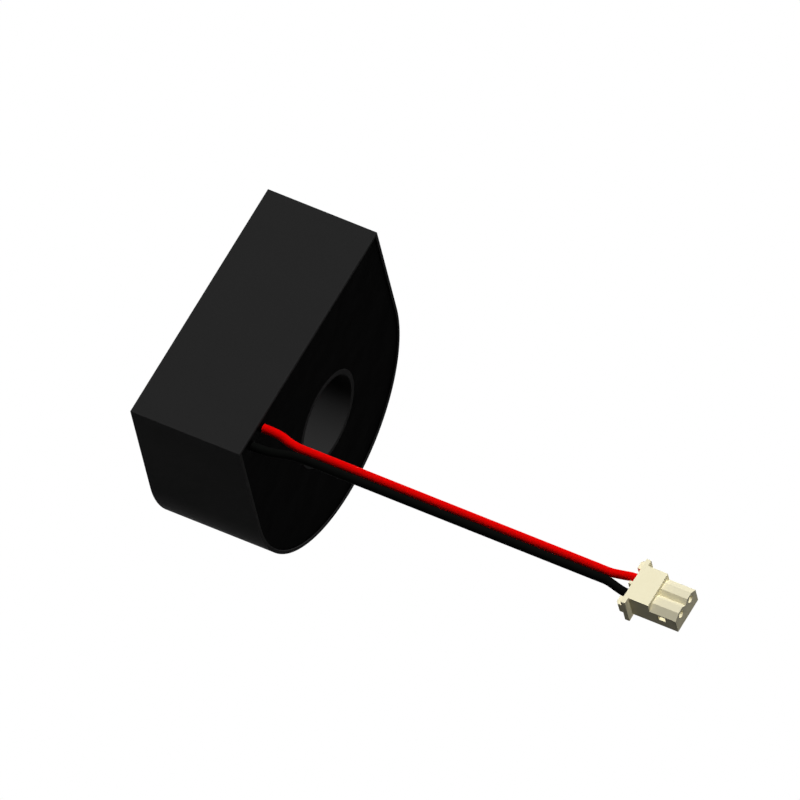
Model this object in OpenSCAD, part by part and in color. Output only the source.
// Potted window-type current transformer: a D-shaped cup, filled with resin round a wound
// ring core, with two flexible leads that end in a two-way crimp plug.
// The origin is on the bore axis at half the length of the case. The bore runs along Z,
// the flat side faces -Y, the resin face looks down (-Z) and the leads hang from it.

/* [Case] */
// Width of the case, which is also the diameter of its round side
case_w = 37; // [35.5:0.5:42]
// Distance from the bore axis to the flat side
axis_h = 18.5; // [18:0.5:22]
// Length of the case along the bore
case_l = 16.25; // [15:0.25:22]
// Thickness of the side walls
side_wall = 0.5; // [0.4:0.1:1]
// Thickness of the closed back
back_wall = 1; // [0.8:0.1:1.5]
// Diameter of the bore for the primary conductor
bore_d = 12.3; // [10:0.1:13.5]
// Wall of the tube round the bore
bore_wall = 0.75; // [0.5:0.05:1.2]
// Drop from the rim to the surface of the resin and the end of the bore tube
fill_drop = 0.1; // [0.05:0.05:0.5]

/* [Core] */
// Width of the strip, which is the height of the ring
strip_w = 8; // [5:0.5:9]
// Wall of the core box
box_wall = 0.8; // [0.6:0.1:1]
// Thickness of the lid of the core box
lid_t = 0.8; // [0.6:0.1:1]
// Width of the step in each wall that carries the lid
lid_step = 0.35; // [0.2:0.05:0.5]
// Clearance round the ring in its box
core_gap = 0.25; // [0.1:0.05:0.4]

/* [Winding] */
// Build of the turns on each side of the core box
winding_t = 0.8; // [0.5:0.1:1]
// Rounding where the turns bend over the edges of the box
winding_edge = 0.7; // [0.3:0.1:0.8]
// Thickness of the tape round the winding
wrap_t = 0.3; // [0.1:0.05:0.4]
// Diameter of the enamelled wire
wire_d = 0.3; // [0.2:0.05:0.4]
// Radius of the bend where a wire end turns down towards its lead
wire_bend = 0.8; // [0.5:0.1:1.2]

/* [Leads] */
// Outside diameter of each lead
lead_d = 1.2; // [1:0.05:1.3]
// Distance from the flat side to the middle of the leads
lead_h = 2.2; // [1.8:0.1:2.6]
// Diameter of the bared strands
strand_d = 0.7; // [0.5:0.05:0.8]
// Diameter of the solder joint between a lead and its wire end
joint_d = 0.9; // [0.7:0.05:1.1]
// Length of the solder joint
joint_l = 2.4; // [1.5:0.1:3]
// Wall of the shrink sleeve over the joint
sleeve_wall = 0.2; // [0.15:0.05:0.4]
// Length of sleeve over the insulation of the lead
sleeve_lap = 1.2; // [0.8:0.1:2]
// Length of sleeve past the joint, over the enamelled wire
sleeve_tip = 0.5; // [0.3:0.1:1]

/* [Plug] */
// Distance between the two ways
pitch = 2.5; // [2.5:0.1:2.8]
// Width of the housing
block_w = 5.36; // [5.3:0.1:6.5]
// Distance from the leads to the upper side of the housing
block_top = 1.7; // [1.5:0.1:2.2]
// Distance from the leads to the lower side of the housing
block_low = 2.1; // [1.6:0.1:2.6]
// Length of the thicker rear half
block_l = 3.62; // [3.4:0.1:4.5]
// Length of the slimmer front half
tower_l = 3.9; // [3.9:0.1:5]
// Drop from the upper side of the rear half to that of the front half
tower_step = 0.7; // [0.4:0.05:0.8]
// Width of each bevel along the front half
bevel_w = 0.98; // [0.6:0.05:1.1]
// Height of each bevel along the front half
bevel_h = 0.7; // [0.4:0.05:0.8]
// Width of the groove between the two ways
groove_w = 1.3; // [0.8:0.1:1.4]
// Depth of the groove
groove_t = 0.6; // [0.3:0.1:0.8]
// Width of the flange at the rear
flange_w = 7.1; // [6.6:0.1:8]
// Thickness of the flange
flange_t = 0.67; // [0.5:0.05:1]
// Reach of the flange below the housing
flange_low = 0.55; // [0.3:0.05:0.8]
// Length of the guard behind the flange, with a channel for each lead
guard_l = 0.83; // [0.5:0.05:1.2]
// Distance from the leads to the upper edge of the guard
guard_top = 0.8; // [0.6:0.05:1]
// Distance from the leads to the lower side of the guard
guard_low = 0.95; // [0.9:0.05:1.2]
// Bevel on the outer corners of the guard
guard_bevel = 0.3; // [0.1:0.05:0.5]
// Width of the channel, and of the pocket behind it
pocket_w = 2.05; // [1.9:0.05:2.1]
// Distance from the leads to the roof and to the floor of the pocket
pocket_h = 0.9; // [0.85:0.05:1]
// Depth of the pocket from the rear end of the plug
pocket_l = 4.1; // [3.9:0.1:4.3]
// Width of the cavity that holds the box of a terminal
cavity_w = 1.3; // [1.25:0.05:1.4]
// Distance from the leads to the roof of the cavity
cavity_top = 0.6; // [0.55:0.05:0.65]
// Distance from the leads to the floor of the cavity
cavity_low = 0.8; // [0.7:0.05:0.9]
// Wall at the front end of the cavities
front_wall = 0.6; // [0.4:0.05:0.8]
// Diameter of each pin hole
pin_hole_d = 1; // [0.9:0.05:1.2]
// Distance from the leads up to the middle of the pin holes
pin_rise = 0.1; // [0:0.05:0.15]
// Length of the latch window in each side
window_l = 1; // [0.8:0.1:1.6]
// Distance from the front end to the latch window
window_at = 1.65; // [1.2:0.05:1.8]
// Distance from the leads up to the upper edge of the latch window
window_top = 0.05; // [0:0.05:0.2]

/* [Terminals] */
// Thickness of the sheet
sheet_t = 0.18; // [0.15:0.01:0.2]
// Clearance of the box of the terminal in its cavity
box_gap = 0.06; // [0.04:0.01:0.1]
// Length of the box
contact_l = 3.2; // [2.8:0.1:3.3]
// Gap from the box to the front wall
contact_back = 0.25; // [0.1:0.05:0.4]
// Length of each crimp
crimp_l = 1.1; // [0.8:0.05:1.2]
// Length of insulated lead inside the plug
lead_in = 2.4; // [2.3:0.1:2.5]
// Width of the strip that joins the crimps to the box
spine_w = 0.8; // [0.5:0.1:1]
// Thickness of the latch leaf, which stands out into the window
leaf_t = 0.15; // [0.1:0.01:0.2]
// Width of the latch leaf
leaf_w = 0.4; // [0.3:0.05:0.5]
// Reach of the latch leaf past the box
leaf_out = 0.25; // [0.2:0.05:0.5]
// Width of the seam where the wings of each crimp meet
seam_w = 0.1; // [0.06:0.02:0.2]
// Width of the spring leaf inside the box
spring_w = 0.5; // [0.3:0.05:0.7]
// Thickness of the spring leaf
spring_t = 0.1; // [0.08:0.01:0.15]
// Height of the spring leaf's crest over the floor of the box
spring_rise = 0.35; // [0.2:0.05:0.45]

/* [Fits] */
// Resin between the bore tube and the wrapped coil
coil_gap = 0.35; // [0.2:0.05:0.6]
// Resin between the back and the wrapped coil
seat_gap = 0.3; // [0.2:0.05:0.8]
// Resin between the side walls and the wrapped coil
side_gap = 1.3; // [0.8:0.1:2.5]
// Gap between pieces that lie against each other
film = 0.03; // [0.02:0.01:0.05]

/* [Hidden] */
$fn = 96;
past = 1; // how far a cut runs past a face

// Routes of the two leads, from the solder joint down to the crimp, as [distance from the side
// of the case, distance out of the rim]
RED_PTS = [[5.9, -3.6], [5.9, -1], [5.9, 1], [5.85, 2], [5.7, 3], [5.4, 4], [5.2, 5], [5.1, 6],
           for (s = [8:3:50]) [5.1, s],
           [5.1, 52], [5.25, 53], [5.45, 54], [5.65, 55], [5.7, 56], [5.7, 57.7]];
BLACK_PTS = [[2.9, -3.6], [2.9, -1], [2.9, 1], [2.95, 2], [3.1, 3], [3.35, 4], [3.6, 5], [3.75, 6],
             for (s = [8:3:50]) [3.85, s],
             [3.85, 52], [3.7, 53], [3.45, 54], [3.25, 55], [3.2, 56], [3.2, 57.7]];
LEAD_SIDES = 8;

// Case and resin
case_r = case_w/2;
back_z = case_l/2;
rim_z = -case_l/2;
floor_z = back_z - back_wall;
resin_z = rim_z + fill_drop;
tube_r = bore_d/2 + bore_wall;
lead_y = lead_h - axis_h;
RED = from_corner(RED_PTS);
BLACK = from_corner(BLACK_PTS);

// The coil has tape, turns and box on each side of the ring, which takes the room between them.
wrap_r0 = tube_r + coil_gap;
turns_r0 = wrap_r0 + wrap_t + film;
box_r0 = turns_r0 + winding_t + film;
room_r0 = box_r0 + box_wall;
ring_r0 = room_r0 + core_gap;
wrap_r1 = min(case_r, axis_h) - side_wall - side_gap;
turns_r1 = wrap_r1 - wrap_t - film;
box_r1 = turns_r1 - winding_t - film;
room_r1 = box_r1 - box_wall;
ring_r1 = room_r1 - core_gap;

// The same layers from the back down to the resin face
wrap_z1 = floor_z - seat_gap;
turns_z1 = wrap_z1 - wrap_t - film;
box_z1 = turns_z1 - winding_t - film;
room_z1 = box_z1 - box_wall;
ring_z1 = room_z1 - core_gap;
ring_z0 = ring_z1 - strip_w;
room_z0 = ring_z0 - core_gap;
box_z0 = room_z0 - lid_t;
turns_z0 = box_z0 - winding_t - film;
wrap_z0 = turns_z0 - wrap_t - film;

// Splices stand on the upper ends of the leads, and the wire ends turn in above them, at half
// the height of the coil or just clear of the sleeves.
red_x = RED[0][0];
black_x = BLACK[0][0];
lead_z1 = RED[0][1];
joint_z1 = lead_z1 + joint_l;
sleeve_z0 = lead_z1 - sleeve_lap;
sleeve_z1 = joint_z1 + sleeve_tip;
sleeve_r = lead_d/2 + film + sleeve_wall;
wire_z = max((wrap_z0 + wrap_z1)/2, sleeve_z1 + film + wire_bend);

// The plug hangs on the lower ends of the leads, with its rear end at z = 0 of its own frame.
red_end = RED[len(RED) - 1];
black_end = BLACK[len(BLACK) - 1];
plug_x = (red_end[0] + black_end[0])/2;
plug_z = red_end[1] + lead_in;
flange_z = -guard_l;
step_z = flange_z - block_l;
front_z = step_z - tower_l;
cavity_z = front_z + front_wall;
window_z = front_z + window_at;
contact_z0 = cavity_z + contact_back;
contact_z1 = contact_z0 + contact_l;
contact_w = cavity_w/2 - box_gap;
contact_top = cavity_top - box_gap;
contact_low = cavity_low - box_gap;
grip_r = lead_d/2 + film + sheet_t;
barrel_r = strand_d/2 + film + sheet_t;
grip_z0 = -lead_in + film;
barrel_z1 = -lead_in - 2*sheet_t;

// ---- shared shapes ----

// The D shape of the case, a half disc on a rectangle, drawn in from its outline by t
module d_shape(t)
{
    intersection()
    {
        circle(r = case_r - t);
        translate([-case_r, 0])
            square([case_w, case_r]);
    }
    translate([-case_r + t, -axis_h + t])
        square([case_w - 2*t, axis_h - t]);
}

// A ring of rectangular section from r0 to r1 and z0 to z1
module square_ring(r0, r1, z0, z1)
{
    rotate_extrude()
        translate([r0, z0])
            square([r1 - r0, z1 - z0]);
}

// Corner points of a rectangle with corners rounded by r, in steps of a sixth of a right angle
function soft_rect(x0, x1, y0, y1, r) =
    [for (c = [[x1 - r, y1 - r, 0], [x0 + r, y1 - r, 90], [x0 + r, y0 + r, 180], [x1 - r, y0 + r, 270]])
        for (a = [0:15:90]) [c[0] + r*cos(c[2] + a), c[1] + r*sin(c[2] + a)]];

// A ring with rounded corners, grown by g on every side
module soft_ring(r0, r1, z0, z1, edge, g = 0)
{
    rotate_extrude()
        polygon(soft_rect(r0 - g, r1 + g, z0 - g, z1 + g, edge + g));
}

// Points of a route from the corner of the rim, as [x, z]
function from_corner(pts) = [for (p = pts) [p[0] - case_r, rim_z - p[1]]];

// An enamelled wire of radius r: up from z0 above the joint at x, round one bend and in to the
// turns, or further in by deeper. The bend is a hair thinner and runs a little into both ends.
module wire_path(x, r, z0, deeper = 0)
{
    reach = norm([x, lead_y]) - turns_r1 - film + deeper;
    lap = 6; // degrees
    translate([x, lead_y, 0])
        rotate([0, 0, atan2(-lead_y, -x)])
        {
            translate([0, 0, z0])
                cylinder(r = r, h = wire_z - wire_bend - z0);
            translate([wire_bend, 0, wire_z - wire_bend])
                rotate([90, 0, 0])
                    rotate_extrude(angle = 90 + 2*lap, start = 90 - lap)
                        translate([wire_bend, 0])
                            circle(r = r - film/3);
            translate([wire_bend, 0, wire_z])
                rotate([0, 90, 0])
                    cylinder(r = r, h = reach - wire_bend);
        }
}

// Unit direction of the route p at its point i
function route_dir(p, i) =
    let (d = p[min(i + 1, len(p) - 1)] - p[max(i - 1, 0)]) d/norm(d);

// One ring of a tube of radius r round the point i of the route p, in the plane y = lead_y
function tube_ring(p, i, r) =
    let (d = route_dir(p, i))
    [for (k = [0:LEAD_SIDES - 1])
        let (a = 360*k/LEAD_SIDES)
        [p[i][0] - d[1]*r*cos(a), lead_y + r*sin(a), p[i][1] + d[0]*r*cos(a)]];

// A tube of radius r swept along the route p
module swept_tube(p, r)
{
    n = LEAD_SIDES;
    last = len(p) - 1;
    polyhedron(
        points = [for (i = [0:last]) each tube_ring(p, i, r)],
        faces = concat(
            [[for (k = [0:n - 1]) n - 1 - k]],
            [for (i = [0:last - 1]) for (k = [0:n - 1])
                [i*n + k, i*n + (k + 1)%n, (i + 1)*n + (k + 1)%n, (i + 1)*n + k]],
            [[for (k = [0:n - 1]) last*n + k]]));
}

module in_plug_frame()
{
    translate([plug_x, lead_y, plug_z])
        children();
}

// ---- case and resin ----

module case()
{
    color("#252525")
        difference()
        {
            translate([0, 0, rim_z])
                linear_extrude(case_l)
                    d_shape(0);
            difference()
            {
                translate([0, 0, rim_z - past])
                    linear_extrude(case_l - back_wall + past)
                        d_shape(side_wall);
                translate([0, 0, resin_z])
                    cylinder(r = tube_r, h = case_l);
            }
            cylinder(d = bore_d, h = case_l + 2*past, center = true);
        }
}

module resin_fill()
{
    color("#0a0a0a")
        difference()
        {
            translate([0, 0, resin_z])
                linear_extrude(floor_z - film - resin_z)
                    d_shape(side_wall + film);
            cylinder(r = tube_r + film, h = case_l + 2*past, center = true);
            soft_ring(wrap_r0, wrap_r1, wrap_z0, wrap_z1, winding_edge, film);
            for (x = [red_x, black_x])
            {
                translate([x, lead_y, resin_z - past])
                    cylinder(d = lead_d + 2*film, h = lead_z1 - resin_z + past);
                translate([x, lead_y, sleeve_z0 - film])
                    cylinder(r = sleeve_r + film, h = sleeve_z1 - sleeve_z0 + 2*film);
                wire_path(x, wire_d/2 + film, sleeve_z1);
            }
        }
}

// ---- ring core, box and winding ----

module core_ring()
{
    color("#8c8f92")
        square_ring(ring_r0, ring_r1, ring_z0, ring_z1);
}

module core_box()
{
    color("#1f4f8f")
        difference()
        {
            square_ring(box_r0, box_r1, box_z0, box_z1);
            square_ring(room_r0, room_r1, box_z0 - past, room_z1);
            square_ring(room_r0 - lid_step, room_r1 + lid_step, box_z0 - past, room_z0);
        }
}

module core_box_lid()
{
    color("#2a63ad")
        square_ring(room_r0 - lid_step + film, room_r1 + lid_step - film, box_z0, room_z0 - film);
}

module winding()
{
    color("#b5602a")
        difference()
        {
            soft_ring(turns_r0, turns_r1, turns_z0, turns_z1, winding_edge);
            square_ring(box_r0 - film, box_r1 + film, box_z0 - film, box_z1 + film);
        }
}

module winding_wrap()
{
    color("#d8c33a")
        difference()
        {
            soft_ring(wrap_r0, wrap_r1, wrap_z0, wrap_z1, winding_edge);
            soft_ring(turns_r0, turns_r1, turns_z0, turns_z1, winding_edge, film);
            for (x = [red_x, black_x])
                wire_path(x, wire_d/2 + film, joint_z1, winding_t/2);
        }
}

module start_wire()
{
    color("#c4702f")
        wire_path(red_x, wire_d/2, joint_z1);
}

module finish_wire()
{
    color("#c4702f")
        wire_path(black_x, wire_d/2, joint_z1);
}

// ---- splices and leads ----

// The bared strands and the wire end, soldered into one lump with tapered ends
module solder_joint(x)
{
    taper = joint_d/2 - wire_d/2;
    color("#c9ccd0")
        translate([x, lead_y, lead_z1])
            rotate_extrude()
                polygon([[0, 0], [strand_d/2, 0], [joint_d/2, taper], [joint_d/2, joint_l - taper],
                         [wire_d/2, joint_l], [0, joint_l]]);
}

// A shrink sleeve: wide over the insulation, narrower over the joint
module shrink_sleeve(x, tint)
{
    joint_r = joint_d/2 + film;
    lead_r = lead_d/2 + film;
    neck_z = lead_z1 + film;
    color(tint)
        translate([x, lead_y, 0])
            rotate_extrude()
                polygon([[lead_r, sleeve_z0], [sleeve_r, sleeve_z0], [sleeve_r, neck_z],
                         [joint_r + sleeve_wall, neck_z + lead_r - joint_r],
                         [joint_r + sleeve_wall, sleeve_z1], [joint_r, sleeve_z1],
                         [joint_r, neck_z], [lead_r, neck_z]]);
}

module red_joint() { solder_joint(red_x); }
module black_joint() { solder_joint(black_x); }
module red_sleeve() { shrink_sleeve(red_x, "#303030"); }
module black_sleeve() { shrink_sleeve(black_x, "#303030"); }

module red_lead()
{
    color("#dc0000")
        swept_tube(RED, lead_d/2);
}

module black_lead()
{
    color("#101010")
        swept_tube(BLACK, lead_d/2);
}

// ---- plug ----

// Outline of the front half: a bevel on each side and a V groove between the ways
module tower_shape()
{
    half = block_w/2;
    top = -block_top + tower_step;
    polygon([[-half, block_low], [-half, top + bevel_h], [-half + bevel_w, top], [-groove_w/2, top],
             [0, top + groove_t], [groove_w/2, top], [half - bevel_w, top], [half, top + bevel_h],
             [half, block_low]]);
}

// Outline of the guard from above, with its outer corners cut off
module guard_shape()
{
    half = flange_w/2;
    polygon([[-half, flange_z], [-half, -guard_bevel], [-half + guard_bevel, 0],
             [half - guard_bevel, 0], [half, -guard_bevel], [half, flange_z]]);
}

// Everything that is cut out of the housing for one way; side is 1 or -1
module way_cut(side)
{
    translate([side*pitch/2, 0, 0])
    {
        translate([-pocket_w/2, -pocket_h, -pocket_l])
            cube([pocket_w, 2*pocket_h, pocket_l + flange_z]);
        translate([-pocket_w/2, -guard_top - past, flange_z - film])
            cube([pocket_w, guard_top + past + lead_d/2 + 2*film, guard_l + film + past]);
        translate([-cavity_w/2, -cavity_top, cavity_z])
            cube([cavity_w, cavity_top + cavity_low, -cavity_z - pocket_l + film]);
        translate([0, -pin_rise, front_z - past])
            cylinder(d = pin_hole_d, h = front_wall + 2*past);
    }
    // latch window, from the cavity out through the side
    translate([side*block_w/2 - block_w/4, -window_top, window_z])
        cube([block_w/2, cavity_low + window_top, window_l]);
}

module plug_housing()
{
    color("#f4e8cd")
        in_plug_frame()
            difference()
            {
                union()
                {
                    translate([0, 0, front_z])
                        linear_extrude(tower_l)
                            tower_shape();
                    translate([-block_w/2, -block_top, step_z])
                        cube([block_w, block_top + block_low, block_l]);
                    translate([-flange_w/2, -block_top, flange_z - flange_t])
                        cube([flange_w, block_top + block_low + flange_low, flange_t]);
                    translate([0, guard_low, 0])
                        rotate([90, 0, 0])
                            linear_extrude(guard_top + guard_low)
                                guard_shape();
                }
                way_cut(1);
                way_cut(-1);
            }
}

// One crimp terminal, folded from sheet: grip, barrel and spine behind a square box with a
// spring leaf inside it and a latch leaf that stands out towards side
module terminal(side)
{
    color("#c8c9c4")
        in_plug_frame()
            translate([side*pitch/2, 0, 0])
                difference()
                {
                    union()
                    {
                        translate([0, 0, grip_z0])
                            cylinder(r = grip_r, h = crimp_l);
                        translate([0, 0, barrel_z1 - crimp_l])
                            cylinder(r = barrel_r, h = crimp_l);
                        translate([-spine_w/2, contact_low - sheet_t, contact_z1 - sheet_t])
                            cube([spine_w, sheet_t, grip_z0 + crimp_l - contact_z1 + sheet_t]);
                        translate([-spine_w/2, 0, barrel_z1 - crimp_l])
                            cube([spine_w, contact_low, crimp_l]);
                        translate([-contact_w, -contact_top, contact_z0])
                            cube([2*contact_w, contact_top + contact_low, contact_l]);
                        latch_leaf(side);
                    }
                    // way for the lead and its strands
                    translate([0, 0, -lead_in - film])
                        cylinder(d = lead_d + 2*film, h = lead_in + past);
                    translate([0, 0, contact_z1])
                        cylinder(d = strand_d + 2*film, h = -contact_z1);
                    // seam between the wings, along both crimps
                    translate([-seam_w/2, -grip_r - past, barrel_z1 - crimp_l - film])
                        cube([seam_w, grip_r + past, crimp_l - barrel_z1 + film]);
                    // inside of the box, open at both ends, round the spring leaf
                    difference()
                    {
                        translate([-contact_w + sheet_t, -contact_top + sheet_t, contact_z0 - past])
                            cube([2*(contact_w - sheet_t), contact_top + contact_low - 2*sheet_t,
                                  contact_l + 2*past]);
                        spring_leaf();
                    }
                }
}

// A bowed leaf that rises from the floor of the box, to press a pin against the roof
module spring_leaf()
{
    floor_y = contact_low - sheet_t;
    crest_y = floor_y - spring_rise;
    crest_z = contact_z0 + contact_l/2;
    foot_z = contact_z0 + contact_l*0.12;
    tip_z = contact_z1 - contact_l*0.12;
    translate([-spring_w/2, 0, 0])
        rotate([90, 0, 90])
            linear_extrude(spring_w)
                polygon([[floor_y + film, foot_z], [crest_y, crest_z - 2*spring_t],
                         [crest_y, crest_z + 2*spring_t], [floor_y - spring_t - 2*film, tip_z],
                         [floor_y - 2*film, tip_z], [crest_y + spring_t, crest_z + spring_t],
                         [crest_y + spring_t, crest_z - spring_t],
                         [floor_y + film, foot_z + 4*spring_t]]);
}

// A leaf that leans out of the side of the box, so that it catches the window
module latch_leaf(side)
{
    foot_z = window_z + window_l*0.2;
    tip_z = window_z + window_l*0.8;
    translate([0, (contact_low - window_top + leaf_w)/2, 0])
        rotate([90, 0, 0])
            linear_extrude(leaf_w)
                polygon([[side*(contact_w - sheet_t/2), foot_z],
                         [side*(contact_w + leaf_out), tip_z - leaf_t],
                         [side*(contact_w + leaf_out), tip_z],
                         [side*(contact_w - sheet_t/2), foot_z + 2*leaf_t]]);
}

// The bared end of a lead's strands, held in the barrel
module strands(side)
{
    color("#b87333")
        in_plug_frame()
            translate([side*pitch/2, 0, barrel_z1 - crimp_l - film])
                cylinder(d = strand_d, h = crimp_l + 2*sheet_t + film);
}

module red_terminal() { terminal(1); }
module black_terminal() { terminal(-1); }
module red_strands() { strands(1); }
module black_strands() { strands(-1); }

case();
resin_fill();
core_ring();
core_box();
core_box_lid();
winding();
winding_wrap();
start_wire();
finish_wire();
red_joint();
black_joint();
red_sleeve();
black_sleeve();
red_lead();
black_lead();
plug_housing();
red_terminal();
black_terminal();
red_strands();
black_strands();
